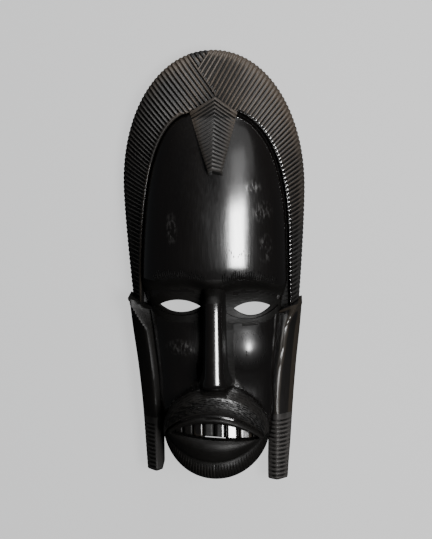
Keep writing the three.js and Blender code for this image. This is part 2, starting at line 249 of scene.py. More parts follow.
# %% Finishes and slabs
FINISHES = ("polished", "satin", "dull", "stroked", "matt", "rough")
POLISHED, SATIN, DULL, STROKED, MATT, ROUGH = range(len(FINISHES))
finishes = [bpy.data.materials.new(f"{name}_ebony") for name in FINISHES]


def add_block(shape):
    bmesh.ops.recalc_face_normals(shape, faces=shape.faces)
    mesh = bpy.data.meshes.new("block")
    shape.to_mesh(mesh)
    shape.free()
    for material in finishes:
        mesh.materials.append(material)
    block = bpy.data.objects.new("block", mesh)
    bpy.context.scene.collection.objects.link(block)
    return block


def slab(across, along, place, back=BACK, finish=POLISHED):
    """place(u, v) gives a point of the front, u and v from 0 to 1."""
    shape = bmesh.new()
    bmesh.ops.create_grid(shape, x_segments=across, y_segments=along, size=0.5)
    for face in shape.faces:
        middle = face.calc_center_median()
        face.material_index = finish(middle.x + 0.5, middle.y + 0.5) if callable(finish) else finish
    made = bmesh.ops.extrude_face_region(shape, geom=shape.faces[:])
    rear = {element for element in made["geom"] if isinstance(element, bmesh.types.BMVert)}
    bmesh.ops.translate(shape, verts=list(rear), vec=(0, 0, -1))
    bmesh.ops.recalc_face_normals(shape, faces=shape.faces)
    placed = {}
    for vert in shape.verts:
        spot = (round((vert.co.x + 0.5) * across), round((vert.co.y + 0.5) * along))
        if spot not in placed:
            placed[spot] = place(spot[0] / across, spot[1] / along)
        x, y, z = placed[spot]
        behind = back(x, y) if callable(back) else back
        vert.co = (x, y, behind if vert in rear else z)
    return add_block(shape)


print("finishes:", ", ".join(FINISHES))


# %% Domes
def dome(around, rings, place, back, finish=POLISHED):
    """place(out, angle) gives a point of the front, out from 0 in the middle to 1 at the rim."""
    shape = bmesh.new()
    bmesh.ops.create_uvsphere(shape, u_segments=around, v_segments=2 * rings, radius=1)
    for face in shape.faces:
        middle = face.calc_center_median()
        out = math.acos(min(1, abs(middle.z) / middle.length)) / (math.pi / 2)
        angle = math.atan2(middle.y, middle.x)
        face.material_index = finish(out, angle) if callable(finish) else finish
    for vert in shape.verts:
        turned = math.acos(min(1, abs(vert.co.z))) / (math.pi / 2)
        front = vert.co.z > -1e-6
        out = turned if front else min(1, turned * rings / (rings - 1))
        x, y, z = place(out, math.atan2(vert.co.y, vert.co.x))
        vert.co = (x, y, z if front else back)
    return add_block(shape)


# %% Joining and cutting
def combine(block, other, operation):
    """Joins another block to this one or cuts it away, and removes the other."""
    tool = block.modifiers.new("tool", "BOOLEAN")
    tool.solver = "MANIFOLD"
    tool.operation = operation
    tool.material_mode = "TRANSFER"
    tool.object = other
    view = bpy.context.evaluated_depsgraph_get()
    mesh = bpy.data.meshes.new_from_object(block.evaluated_get(view))
    block.modifiers.clear()
    block.data = mesh
    bpy.data.objects.remove(other)
    return block


# %% [markdown]
# ## The hair
# The hood is cut into parallel ridges by a narrow gouge, from the outline inwards to the lip, in three
# families that meet at a zigzag parting: the left side, a small fan at the crown and the right side.
# Each groove starts at an even pitch along the outline and runs straight at the slope of its place.
# Cutting every groove with a Boolean would be slow and leave sharp slivers. Instead the rows of a slab
# follow the grooves, eight to each, so the ridges come out round between narrow valleys. At the lip
# each ridge rounds over and drops into the ditch beside the forehead.

# %% Lines that the grooves run between
PARTING_CROWN = (-1.6, 399)
PARTING_KINK = (-11.2, 384)
FAN_X = -19.3  # where the small fan begins on the outline
LOCK_TIP = (4.5, 360)  # the forelock's root is a triangle in the hair
LOCK_LEFT = (-18.5, 346.5)
LOCK_RIGHT = (24.2, 345.5)


def outline_points():
    """The outline from the left ear over the crown to the right ear."""
    side_steps, crown_steps = 60, 400
    points = []
    for i in range(side_steps):
        y = lerp(CREST["bottom"], CREST["middle"], i / side_steps)
        points.append(Vector((-oval_half(y, CREST), y)))
    bend = 2 / CREST["power"]
    for i in range(crown_steps + 1):
        angle = lerp(math.pi, 0, i / crown_steps)
        x = math.copysign(CREST["half"] * abs(math.cos(angle)) ** bend, math.cos(angle))
        y = CREST["middle"] + (HEIGHT - CREST["middle"]) * math.sin(angle) ** bend
        points.append(Vector((x, y)))
    for point in points[side_steps - 1::-1]:
        points.append(Vector((-point.x, point.y)))
    return points


def measured(points):
    """The length along the points at each of them."""
    lengths = [0]
    for before, after in zip(points, points[1:]):
        lengths.append(lengths[-1] + (after - before).length)
    return lengths


outline = outline_points()
outline_lengths = measured(outline)
print(f"the outline is {outline_lengths[-1]:.0f} mm long")


# %% Finding places on the lines
def outline_at(length):
    i = 0
    while i < len(outline) - 2 and outline_lengths[i + 1] < length:
        i += 1
    part = (length - outline_lengths[i]) / (outline_lengths[i + 1] - outline_lengths[i])
    return outline[i].lerp(outline[i + 1], part)


def length_at(x):
    """The length along the outline where it passes over x at the crown."""
    crown_foot = 380
    above = [i for i, point in enumerate(outline) if point.y > crown_foot and point.x < x]
    return outline_lengths[above[-1]]


def lip_line(side):
    """Points down the lip, closer together where it turns at the top."""
    lip = LIPS[hand(side)]
    top, bottom, steps = lip["top"] - 4.5, CREST["bottom"] - 30, 60
    heights = [lerp(top, bottom, (i / steps) ** 1.6) for i in range(steps + 1)]
    return [Vector((side * oval_half(y, lip), y)) for y in heights]


def beyond(start, end):
    """A point a third further on, so that no groove slips past the end of a line."""
    return Vector(end) + (Vector(end) - Vector(start)) / 3


def run_to(start, heading, line):
    """How far a ray runs before it meets the nearest stretch of a line."""
    nearest = math.inf
    for before, after in zip(line, line[1:]):
        along = after - before
        cross = heading.x * along.y - heading.y * along.x
        if cross == 0:
            continue
        gap = before - start
        reach = (gap.x * along.y - gap.y * along.x) / cross
        part = (gap.x * heading.y - gap.y * heading.x) / cross
        if 0 < reach < nearest and -0.001 < part < 1.001:
            nearest = reach
    return nearest


print("the fan begins", round(length_at(FAN_X)), "mm along the outline")

# %% Steps along a groove
ROWS = 8  # to a groove
EDGE_STEPS = (0, 0.5, 1.4, 3, 5.5)  # distances in from the outline
MIDDLE_STEPS = 11
LIP_STEPS = (4.2, 3.1, 2.1, 1.2, 0.5, 0)  # distances short of the lip
WALL_STEPS = (0.7, 2.2, 12)  # distances past it, down in the ditch
SHORT_RUN = 14  # a groove shorter than this has shorter steps
COLUMNS = len(EDGE_STEPS) + MIDDLE_STEPS - 1 + len(LIP_STEPS) + len(WALL_STEPS) - 1
FIRST_WALL = COLUMNS + 1 - len(WALL_STEPS)


def hair_columns(run):
    near = [min(step, step * run / SHORT_RUN) for step in EDGE_STEPS]
    far = [run - min(step, step * run / SHORT_RUN) for step in LIP_STEPS]
    middle = [lerp(near[-1], far[0], i / MIDDLE_STEPS) for i in range(1, MIDDLE_STEPS)]
    return near + middle + far + [run + step for step in WALL_STEPS]


print("a groove of 60 mm has its columns at", [round(reach, 1) for reach in hair_columns(60)])

# %% One family of grooves
VALLEY_POWERS = (1.5, 2.2)  # left and right, the higher the narrower the valleys
UNEVEN = (0.85, 1.12)  # the shallowest and the deepest groove
EDGE_NOTCH = 0.8  # how far a valley cuts into the outline
EDGE_ROUND = 4
LIP_ROUND = 3.4
LIP_DROP = 0.9  # of that rounding, where the wall to the ditch begins
AT_LIP = 0.3  # a groove that ends this close to the lip has reached it
LIP_FADE = (3.6, 1.4)  # on the left the grooves run out over this stretch short of the lip
SHINE_TOP = 300  # above this height the left lip isn't rubbed


def hair(start_length, end_length, side, slope_at, end_line):
    grooves = round((end_length - start_length) / GROOVE_PITCH)
    strands = {}
    chance = random.Random(grooves)
    depths = [GROOVE_DEPTH * chance.uniform(*UNEVEN) for _ in range(grooves + 1)]

    def strand(row):
        """Where a row starts, its heading, its length and columns, and whether it ends on a bright lip."""
        if row not in strands:
            part = row / (ROWS * grooves)
            start = outline_at(lerp(start_length, end_length, part))
            slope = math.radians(slope_at(part))
            heading = Vector((-side * math.cos(slope), -math.sin(slope)))
            run = run_to(start, heading, end_line)
            end = start + heading * run
            on_lip = abs(outside(end.x, end.y, LIPS[hand(end.x)])) < AT_LIP
            shines = on_lip and (side > 0 or end.y < SHINE_TOP)
            strands[row] = start, heading, run, hair_columns(run), on_lip, shines
        return strands[row]

    def place(u, v):
        row = round(v * ROWS * grooves)
        column = round(u * COLUMNS)
        start, heading, run, reaches, on_lip, _ = strand(row)
        reach = reaches[column]
        phase = (row % ROWS) / ROWS
        valley = abs(math.cos(math.pi * phase)) ** VALLEY_POWERS[hand(side)]
        depth = depths[(row + ROWS // 2) // ROWS] * valley
        if side < 0 and on_lip:
            depth *= 1 - smoothstep(reach, run - LIP_FADE[0], run - LIP_FADE[1])
        point = start + heading * max(reach, EDGE_NOTCH * valley)
        if column >= FIRST_WALL:
            end = start + heading * run
            top = hair_z(end.x, end.y) - (LIP_DROP * LIP_ROUND if on_lip else 0) - depth
            foot = min(hair_z(end.x, end.y) - LIP_RISE, border_z(point.y)) - 2
            return point.x, point.y, (lerp(top, foot, 0.6), foot, foot - 2)[column - FIRST_WALL]
        edge = max(0, 1 - reach / EDGE_ROUND)
        lip = max(0, 1 - (run - reach) / LIP_ROUND) if on_lip else 0
        rounding = EDGE_ROUND * (1 - math.sqrt(1 - edge * edge))
        rounding += LIP_ROUND * (1 - math.sqrt(1 - lip * lip * 0.98))
        return point.x, point.y, hair_z(point.x, point.y) - depth - rounding

    def finish(u, v):
        *_, shines = strand(int(v * ROWS * grooves))
        rubbed = len(EDGE_STEPS) + MIDDLE_STEPS <= int(u * COLUMNS) < FIRST_WALL
        if not shines or not rubbed:
            return MATT
        return POLISHED if side > 0 else SATIN

    return slab(COLUMNS, ROWS * grooves, place, finish=finish)


# %% The three families
FAN_SHIFT = 1.7  # sets the fan's grooves in line with those on the left


def hairs():
    fan = length_at(FAN_X)
    crown = length_at(PARTING_CROWN[0])
    whole = outline_lengths[-1]
    left_slope = through((0, 12), (0.4, 21), (0.6, 37), (0.75, 45), (0.9, 50), (1, 53.5))
    fan_slope = through((0, 53), (1, 50))
    right_slope = through((0, 56), (0.08, 60), (0.2, 54), (0.35, 44), (0.55, 28), (1, 12))
    left_end = [beyond(LOCK_LEFT, LOCK_TIP), Vector(LOCK_LEFT)] + lip_line(-1)
    right_end = [beyond(LOCK_TIP, PARTING_KINK), Vector(LOCK_TIP), Vector(LOCK_RIGHT)] + lip_line(1)
    fan_end = [Vector(PARTING_CROWN), beyond(PARTING_CROWN, PARTING_KINK)]
    return [
        hair(0, fan, -1, left_slope, left_end),
        hair(fan - FAN_SHIFT, crown - FAN_SHIFT, -1, fan_slope, fan_end),
        hair(crown, whole, 1, right_slope, right_end),
    ]


print("about", round(outline_lengths[-1] / GROOVE_PITCH), "grooves in all")

# %% [markdown]
# ## The forelock
# A tongue of hair hangs over the forehead. It is widest where it leaves the hair, tapers to a blunt end
# that is cut off at a slant, and carries chevrons whose points run down its middle ridge. It is one
# slab again, because its rows can then bend at the ridge and make the chevrons by themselves.

# %% Forelock
LOCK_RIDGE_END = (1.5, 297)
LOCK_END = (4, 297)
LOCK_END_HALF = 6.5
LOCK_END_SLOPE = 4.5
LOCK_LIFT = (1, 7)  # how far it stands over hair and forehead at its root and at its end
LOCK_RIDGE = (1.2, 2.5)  # and how much further its middle ridge stands
LOCK_BEVEL = 1.2  # depth of the worn strip along each border
CHEVRONS = 18
CHEVRON_DEPTH = 1.2
FACE_TOP = 342  # over this height the lock lies on the hair alone


def forelock():
    rows = ROWS * CHEVRONS
    end_rows = 3

    def place(u, v):
        row = round((1 - v) * (rows + end_rows))
        down = min(1, row / rows)
        out = abs(2 * u - 1)
        corner = LOCK_LEFT if u < 0.5 else LOCK_RIGHT
        end_x = LOCK_END[0] + math.copysign(LOCK_END_HALF, u - 0.5)
        middle = Vector(LOCK_TIP).lerp(Vector(LOCK_RIDGE_END), down)
        border = Vector(corner).lerp(Vector((end_x, LOCK_END[1] - 2)), down)
        x, y = middle.lerp(border, out)
        under = max(face_z(x, min(y, FACE_TOP)), hair_z(x, y))
        lift = lerp(*LOCK_LIFT, down ** 0.8) + lerp(lerp(*LOCK_RIDGE, down), 0, out ** 1.5)
        lift -= LOCK_BEVEL * max(0, out - 0.85) / 0.15
        phase = (row % ROWS) / ROWS
        depth = CHEVRON_DEPTH * abs(math.cos(math.pi * phase)) ** 3
        if row > rows:
            past = (row - rows) / end_rows
            y -= LOCK_END_SLOPE * past
            return x, y, lerp(under + lift - depth, face_z(x, y) - 1, past ** 0.8)
        return x, y, under + lift - depth

    return slab(20, rows + end_rows, place, finish=MATT)


print(f"a chevron is {(LOCK_TIP[1] - LOCK_RIDGE_END[1]) / CHEVRONS:.1f} mm long")

# %% [markdown]
# ## The nose
# A long narrow tube whose ridge is the brightest line of the face. It grows out of the brow, where it
# spreads, and ends in a blunt tip with two small wings. A cylinder would not taper so. As a slab, its
# front is a gentle curve of one radius, which sets how wide the bright line is, and its sides fall
# steeply. The sides were never polished, so their finish is dull.

# %% Nose
NOSE_BOTTOM = 100.5
NOSE_TOP = 211
NOSE_FRONT = 12.5  # radius of its front
nose_half = through((100.5, 16), (105, 15), (112, 12.5), (132, 11.4), (180, 11), (192, 13), (211, 20))
nose_ridge = through(
    (100.5, 87.5), (104, 91.5), (110, 91.5), (140, 86), (168, 80.8),
    (178, 78), (184, 74.5), (191, 68), (211, 44),
)
NOSE_SUNK = 6  # its foot lies this deep under the cheeks
POLISHED_WIDTH = 0.24  # part of the nose on each side of its middle that shines
POLISHED_TOP = 177


def nose():
    def place(u, v):
        y = lerp(NOSE_BOTTOM, NOSE_TOP, v ** 1.5)
        across = math.sin((u - 0.5) * math.pi)
        x = across * nose_half(y)
        foot = face_z(nose_half(y), y) - NOSE_SUNK
        squareness = lerp(5, 3, smoothstep(y, 170, 205))
        height = lerp(foot, nose_ridge(y), arch(across, squareness)) - x * x / (2 * NOSE_FRONT)
        return x, y, height

    def finish(u, v):
        sunk = abs(u - 0.5) > POLISHED_WIDTH or place(u, v)[1] > POLISHED_TOP
        return DULL if sunk else POLISHED

    return slab(32, 70, place, finish=finish)


nose_tip = round(nose_ridge(106), 1)
print("the nose is", NOSE_TOP - NOSE_BOTTOM, "mm long, and its tip", nose_tip, "mm over the back")

# %% [markdown]
# ## The muzzle
# Moustache, lips and bearded chin are one jutting form around the mouth. Its folds all run round the
# opening, so it is a dome made of rings. A ring has a half width, how far it rises above the mouth and
# falls below it, the sharpness of its corners, its height above and below, and how far it follows the
# tilt of the opening. Stations between the rings are filled in smoothly.

# %% Rings around the mouth
MOUTH = (-1.5, 52)
MOUTH_TILT = 0.085  # the opening falls towards the right
MOUTH_HALF = 39.5
JAW_HALF = 49.5
CURVE_BACK = 25  # how far the corners lie behind the middle
TEETH_Z = 66
GUM_Z = TEETH_Z - 4
RINGS = (  # half width, rise, fall, corners, height above and below, tilt above and below
    (0, 0, 0, 1.8, GUM_Z, GUM_Z, 1, 1),
    (MOUTH_HALF, 13.5, 0.6, 1.8, GUM_Z, GUM_Z, 1, 1),
    (MOUTH_HALF + 0.5, 14.3, 1.4, 1.8, 74, 73.5, 1, 1),
    (MOUTH_HALF + 3.5, 18.5, 10, 1.75, 77.5, 76, 1, 0.5),
    (MOUTH_HALF + 5.5, 22.4, 22, 1.65, 73, 70, 0.9, 0),
    (MOUTH_HALF + 6.2, 23.8, 23.2, 1.62, 75.3, 67, 0.85, 0),
    (MOUTH_HALF + 7.5, 33, 31.5, 1.4, 77.5, 67, 0.4, 0),
    (MOUTH_HALF + 9, 42, 39, 1.1, 75, 62, 0, 0),
    (JAW_HALF, 49, 43.8, 0.95, 50, 50, 0, 0),
)
RING_STEPS = (2, 6, 3, 6, 5, 3, 6, 6)  # faces between one ring and the next


def mouth_drop(x):
    return CURVE_BACK * abs((x - MOUTH[0]) / JAW_HALF) ** 2.2


def mouth_line(x):
    return MOUTH[1] - MOUTH_TILT * (x - MOUTH[0])


ring_curves = [through(*enumerate(column)) for column in zip(*RINGS)]


def ring_values(ring):
    """The eight sizes of a ring, or of a place between two rings."""
    if ring < 2:
        return [lerp(a, b, ring % 1) for a, b in zip(RINGS[int(ring)], RINGS[int(ring) + 1])]
    return [curve(ring) for curve in ring_curves]


def ring_point(ring, angle):
    width, rise, fall, corner, above, below, tilt_above, tilt_below = ring_values(ring)
    upper = smoothstep(math.sin(angle), -0.25, 0.25)
    reach = (rise if math.sin(angle) > 0 else -fall) * abs(math.sin(angle)) ** corner
    x = MOUTH[0] + width * math.cos(angle)
    y = lerp(MOUTH[1], mouth_line(x), lerp(tilt_below, tilt_above, upper)) + reach
    return Vector((x, y, lerp(below, above, upper) - mouth_drop(x)))


print("the lips are", 2 * RINGS[3][0], "mm wide and the muzzle", 2 * RINGS[-1][0])

# %% Muzzle
RIM_RING = 7.6  # beyond this ring the upper rim dips under the cheeks
RIM_SUNK = 1.5
STROKED_RING = 5  # beyond this one the moustache is scored with a knife


def muzzle_point(ring, angle):
    point = ring_point(ring, angle)
    if ring > RIM_RING and point.y > MOUTH[1] + 8:
        point.z = min(point.z, face_z(point.x, point.y) - RIM_SUNK)
    return point


def muzzle():
    stations = [0]
    for i, steps in enumerate(RING_STEPS):
        stations += [i + (step + 1) / steps for step in range(steps)]
    count = len(stations) - 1

    def place(out, angle):
        return muzzle_point(stations[round(out * count)], angle)

    def finish(out, angle):
        ring = stations[min(count, math.ceil(out * count))]
        return STROKED if ring > STROKED_RING and math.sin(angle) > -0.1 else DULL

    return dome(160, count, place, BACK, finish)


print("the muzzle has", sum(RING_STEPS), "rings of faces")

# %% [markdown]
# ## The teeth
# Eight uneven blocks stand in the opening. One block with seven grooves would reflect the light in one
# long band. Here nearly each is turned a little to one side, so that some of them flash in the light
# from the right and others stay dark, as on the real mask, where they were cut one by one.

# %% Teeth
TOOTH_GAPS = (-38, -29.5, -20, -10.5, -0.5, 9.5, 22, 33.5, 38)
TOOTH_TURNS = (6, 3, -5, 4, -4, -3, -10, 0)  # degrees that each is turned to the right
TOOTH_FINISHES = (DULL, DULL, SATIN, DULL, POLISHED, POLISHED, SATIN, DULL)
HALF_GAP = 0.35
TOOTH_FOOT, TOOTH_TOP = -1, 17  # from the mouth line
TOOTH_BACK = 40
TOOTH_STANDS = 2.5  # how far its edge stands out at the mouth line
TOOTH_LEAN = 2.4  # how far its root lies behind its edge


def tooth(left, right, turn, finish):
    low, high = [mouth_drop(MOUTH[0] + edge) for edge in (left, right)]

    def place(u, v):
        x = MOUTH[0] + lerp(left + HALF_GAP, right - HALF_GAP, u)
        y = mouth_line(x) + lerp(TOOTH_FOOT, TOOTH_TOP, v)
        rounding = 2.2 * abs(2 * u - 1) ** 6 + 1.6 * max(0, 1 - v / 0.12) ** 2
        lean = math.tan(math.radians(turn)) * (right - left) * (u - 0.5)
        return x, y, TEETH_Z + TOOTH_STANDS - rounding - lerp(low, high, u) - lean - TOOTH_LEAN * v

    return slab(16, 12, place, TOOTH_BACK, finish)


def teeth():
    sizes = zip(TOOTH_GAPS, TOOTH_GAPS[1:], TOOTH_TURNS, TOOTH_FINISHES)
    return [tooth(*each) for each in sizes]


print("teeth are", [b - a for a, b in zip(TOOTH_GAPS, TOOTH_GAPS[1:])], "mm wide")

# %% [markdown]
# ## The head
# Forehead, brow, sockets and cheeks are one smooth sheet, so they are one slab. Its columns crowd
# towards both sides, where the arch turns down steeply. The polisher's rag has run along the edge of
# the moustache, so the sheet is drawn up softly towards it.


# %% The crease over the moustache
CHEEK_FOOT = 1.5  # width of the soft crease between cheek and moustache


def moustache_z(x, y):
    """The moustache's height over a point, found by halving between its rings."""
    inner, outer = 5, 8
    for _ in range(12):
        ring = (inner + outer) / 2
        across = (x - MOUTH[0]) / ring_values(ring)[0]
        angle = math.acos(max(-1, min(1, across)))
        if abs(across) < 1 and ring_point(ring, angle).y > y:
            outer = ring
        else:
            inner = ring
    return ring_point(inner, angle).z


def head_z(x, y):
    height = face_z(x, y)
    if MOUTH[1] + 6 < y < MOUTH[1] + 56:
        fade = smoothstep(y, MOUTH[1] + 6, MOUTH[1] + 16)
        height = lerp(height, soft_max(height, moustache_z(x, y) - 0.3, CHEEK_FOOT), fade)
    return height


print("the moustache stands", round(moustache_z(0, 95), 1), "mm over the back under the nose")

# %% Head
HEAD_FOOT, HEAD_TOP = 40, 344.5  # hidden in the muzzle and in the hair
DULL_NOSE = {"half": 17, "low": 96, "high": 199}  # here the rag didn't reach the wood
DULL_BROW = (-10, 2)  # and here, from the line of the brow
DULL_EYE = (29, 15)  # half width and half height of the dull oval around an eye


def head():
    squeeze = 0.94  # how far the columns crowd towards the sides

    def place(u, v):
        y = lerp(HEAD_FOOT, HEAD_TOP, v)
        across = math.sin((u - 0.5) * math.pi * squeeze) / math.sin(math.pi * squeeze / 2)
        x = across * face_half(y, across)
        return x, y, head_z(x * 0.999, y)

    def finish(u, v):
        x, y, _ = place(u, v)
        eye = EYES[hand(x)]
        beside_nose = abs(x) < DULL_NOSE["half"] and DULL_NOSE["low"] < y < DULL_NOSE["high"]
        under_brow = DULL_BROW[0] < y - brow_y(x) < DULL_BROW[1]
        around_eye = math.hypot((x - eye["x"]) / DULL_EYE[0], (y - eye["y"]) / DULL_EYE[1]) < 1
        return DULL if beside_nose or under_brow or around_eye else POLISHED

    return slab(110, 170, place, finish=finish)


print("the head is one slab,", round(HEAD_TOP - HEAD_FOOT), "mm high")

# %% [markdown]
# ## The ears
# Each ear is a slanting ledge over a hollow. Its long lobe runs down beside the jaw with a ridge along
# it, and cross grooves near the end. The right lobe is the longer one. The left lobe's grooves stop at
# its ridge, and the right lobe's run all the way across. The two are alike but not mirrored, so one
# function makes both from pairs of sizes, left and right.

# %% Ears
EAR_TIPS = (176.5, 170.5)
LOBE_ENDS = (10, 0)
LOBE_GROOVES = (11, 14)
LOBE_PITCH = 4.15
LEDGE_SLOPE = 9
LEDGE_Z = 37
EAR_EDGE = 0.12  # how much of each side of the ridge is rounded over
LOBE_CUT = 1.4  # depth of a cross groove
LOBE_REACH = (0.6, 1.1)  # how far across the lobe its grooves run
TIP_ROUND = 3.5  # length over which a lobe's end and an ear's tip are worn round
EAR_FINISHES = (DULL, SATIN)
lobe_outer = (
    ((0, 67), (19, 67.8), (37, 68.6), (74, 70.2)),
    ((0, 63.8), (19, 65.3), (37, 67), (74, 69.8)),
)
lobe_inner = (
    ((0, 53), (20, 52.7), (46, 52.2), (74, 50)),
    ((0, 45.5), (20, 45.7), (41, 46.3), (74, 47)),
)
ear_outer = [through(*low, (112, 73.3), (149, 77.6), (180, 80.5)) for low in lobe_outer]
ear_inner = [through(*low, (112, 49.2), (149, 52.5), (180, 57)) for low in lobe_inner]
ear_ridge_z = through((0, 29), (40, 33), (112, 38), (160, 38))
ear_ridge_at = (
    through(
        (0, 0.62), (44, 0.66), (68, 0.66), (90, 0.6), (137, 0.55), (151, 0.52), (161, 0.28), (170, 0.06)
    ),
    through(
        (0, 0.55), (64, 0.64), (79, 0.66), (108, 0.64), (126, 0.58), (140, 0.56), (156, 0.48), (172, 0.12)
    ),
)


def ear(side):
    hand_side = hand(side)
    end, tip = LOBE_ENDS[hand_side], EAR_TIPS[hand_side]
    outer, inner, ridge_at = ear_outer[hand_side], ear_inner[hand_side], ear_ridge_at[hand_side]
    groove_top = end + LOBE_PITCH * (LOBE_GROOVES[hand_side] + 0.5)
    lobe_rows = ROWS * LOBE_GROOVES[hand_side] + ROWS // 2
    rows = lobe_rows + 46
    reach = LOBE_REACH[hand_side]

    def place(u, v):
        part = u if side < 0 else 1 - u  # 0 at the outline and 1 beside the jaw
        row = round(v * rows)
        if row <= lobe_rows:
            level = lerp(end, groove_top, row / lobe_rows)
        else:
            level = lerp(groove_top, tip, (row - lobe_rows) / (rows - lobe_rows))
        y = level - LEDGE_SLOPE * part * smoothstep(level, 120, tip)
        from_end = level - end
        from_round = min(1, from_end / TIP_ROUND)
        round_end = lerp(0.78, 1, math.sqrt(1 - (1 - from_round) ** 2))
        middle = (outer(level) + inner(level)) / 2
        x = middle + (lerp(outer(level), inner(level), part) - middle) * round_end
        crest = ridge_at(level)
        slope = part / crest if part < crest else (1 - part) / (1 - crest)
        foot = 20 if part < crest else border_z(y) - 4
        phase = from_end / LOBE_PITCH
        inside = smoothstep(level, end + 1, end + 3) * (1 - smoothstep(level, groove_top - 2, groove_top))
        cut = LOBE_CUT * abs(math.cos(math.pi * phase)) ** 3 * inside
        cut *= 1 - smoothstep(part, reach - 0.08, reach)
        rounded = 1 + EAR_EDGE - math.hypot(1 - slope, EAR_EDGE)
        front = lerp(foot, ear_ridge_z(level), rounded ** 0.8) - cut
        front -= 3 * max(0, 1 - from_end / 3) ** 2
        ledge = LEDGE_Z - 0.9 * (tip - level) if tip - level < TIP_ROUND else 0
        return side * x, y, max(front, ledge)

    def finish(u, v):
        return MATT if v < (lobe_rows + 2) / rows else EAR_FINISHES[hand_side]

    return slab(18, rows, place, finish=finish)


print("the ears are", [tip - end for tip, end in zip(EAR_TIPS, LOBE_ENDS)], "mm long with their lobes")

# %% [markdown]
# ## The eyes
# The eyes are pointed almonds cut right through, in shallow sockets of the same shape. Both are taken
# away with one kind of cutter: for a socket it ends just under the face, and for an eye it goes on
# through the back. The left hole is longer than the right, as on the real mask.


# %% Almonds
SOCKET_HALF = 26
SOCKET_GROW = 2.4  # how far a socket reaches past the eye, above and below
SOCKET_DEPTH = 2.6


def almond(eye, ends, grow, back, finish):
    left, right = ends

    def place(u, v):
        along = math.sin((u - 0.5) * math.pi)
        reach = eye["up"] + grow if v > 0.5 else eye["down"] + grow
        rise = (2 * v - 1) * reach * (1.02 - abs(along) ** 2.1)
        return lerp(left, right, (along + 1) / 2), eye["y"] + rise, FRONT

    return slab(36, 6, place, back=back, finish=finish)


def socket_floor(x, y):
    return face_z(x, y) - SOCKET_DEPTH


def sockets():
    ends = [(eye["x"] - SOCKET_HALF, eye["x"] + SOCKET_HALF) for eye in EYES]
    return [almond(eye, pair, SOCKET_GROW, socket_floor, DULL) for eye, pair in zip(EYES, ends)]


def eye_holes():
    return [almond(eye, eye["hole"], 0, BACK, SATIN) for eye in EYES]


print("the eye holes are", [round(eye["hole"][1] - eye["hole"][0], 1) for eye in EYES], "mm long")

# %% [markdown]
# ## The back and the mouth slit
# A mask is hollowed so that it is light and doesn't split. A broad gouge goes over the hollow in rows,
# and its scoops are left as they are, because nobody sees them on the wall. The hollow is a dome that
# is cut away, with the scoops worked into its surface. Then the rim is sawn flat, and a narrow slit is
# cut through under the middle teeth.

# %% The hollow
HOLLOW = {"middle": 180, "rise": 153, "half": 59, "power": 2.6, "chin": 0.74}
hollow_depth = through((26, 38), (66, 46), (106, 47), (158, 49), (188, 55), (220, 70), (258, 68), (333, 44))
GOUGE_WIDTH = 9
GOUGE_LENGTH = 31
GOUGE_DEPTH = 0.7


def gouged(x, y):
    """Shallow scoops in staggered rows."""
    lane = x / GOUGE_WIDTH
    stagger = 0.37 * math.floor(lane)
    across = abs((lane % 1) * 2 - 1)
    along = abs(((y / GOUGE_LENGTH + stagger) % 1) * 2 - 1)
    return GOUGE_DEPTH * (across ** 2 + 0.5 * along ** 3)


def hollow():
    def place(out, angle):
        reach = math.sin(out * math.pi / 2) ** 0.9
        bend = 2 / HOLLOW["power"]
        across = math.copysign(abs(math.cos(angle)) ** bend, math.cos(angle))
        along = math.copysign(abs(math.sin(angle)) ** bend, math.sin(angle))
        x = HOLLOW["half"] * reach * across
        y = HOLLOW["middle"] + HOLLOW["rise"] * reach * along
        narrow = lerp(HOLLOW["chin"], 1, smoothstep(y, 16, 116))
        return x * narrow, y, hollow_depth(y) * arch(reach, 3.4) - gouged(x, y) * (1 - out ** 6)

    return dome(110, 40, place, BACK - 10, ROUGH)


print("the hollow is", hollow_depth(220), "mm deep behind the forehead")


# %% Saw cut
def saw_cut():
    """Takes away all that lies behind the back plane, over a field larger than the mask."""
    def place(u, v):
        return lerp(-120, 120, u), lerp(-20, 420, v), 0

    return slab(1, 1, place, back=10 * BACK, finish=ROUGH)


# %% Mouth slit
SLIT_LEAN = math.tan(math.radians(14.8))  # it falls towards the back, so that one looks through it
SLIT_ENDS = (-13, 8)
SLIT_WIDTH = 0.7
SLIT_FOOT = -0.3  # its lower edge, from the mouth line


def mouth_slit():
    def place(u, v):
        x = lerp(*SLIT_ENDS, u)
        return x, mouth_line(x) + SLIT_FOOT + SLIT_WIDTH * v, FRONT

    cut = slab(1, 1, place, finish=POLISHED)
    leaning = Matrix.Translation((0, -SLIT_LEAN * TEETH_Z, 0))
    leaning[1][2] = SLIT_LEAN
    cut.data.transform(leaning)
    return cut


print("the slit is", SLIT_ENDS[1] - SLIT_ENDS[0], "mm long and", SLIT_WIDTH, "mm wide")

# %% [markdown]
# ## Strokes of a knife
# Beard, moustache and brows are hair that was scored with the tip of a knife: short strokes, deepest in
# the middle, in rows that are never quite even. Each is a thin spindle, a sphere of a few faces drawn
# out along a path on the surface, and all the spindles of one kind are cut away together. The paths
# come from seeded random numbers, so that every run gives the same strokes.


# %% Spindles
def strokes(paths, width, depth, finish=STROKED):
    """Makes one thin spindle along each path. path(t), t from -1 to 1, gives a point on the surface."""
    shape = bmesh.new()
    for path in paths:
        made = bmesh.ops.create_uvsphere(shape, u_segments=4, v_segments=8, radius=1)
        for vert in made["verts"]:
            across, down, along = vert.co
            point = path(along)
            ahead = path(along + 0.02) - path(along - 0.02)
            side = ahead.cross(Vector((0, 0, 1))).normalized()
            vert.co = point + side * across * width + side.cross(ahead).normalized() * down * depth
    for face in shape.faces:
        face.material_index = finish
    return add_block(shape)


# %% Beard and moustache
BEARD_STROKES = 46


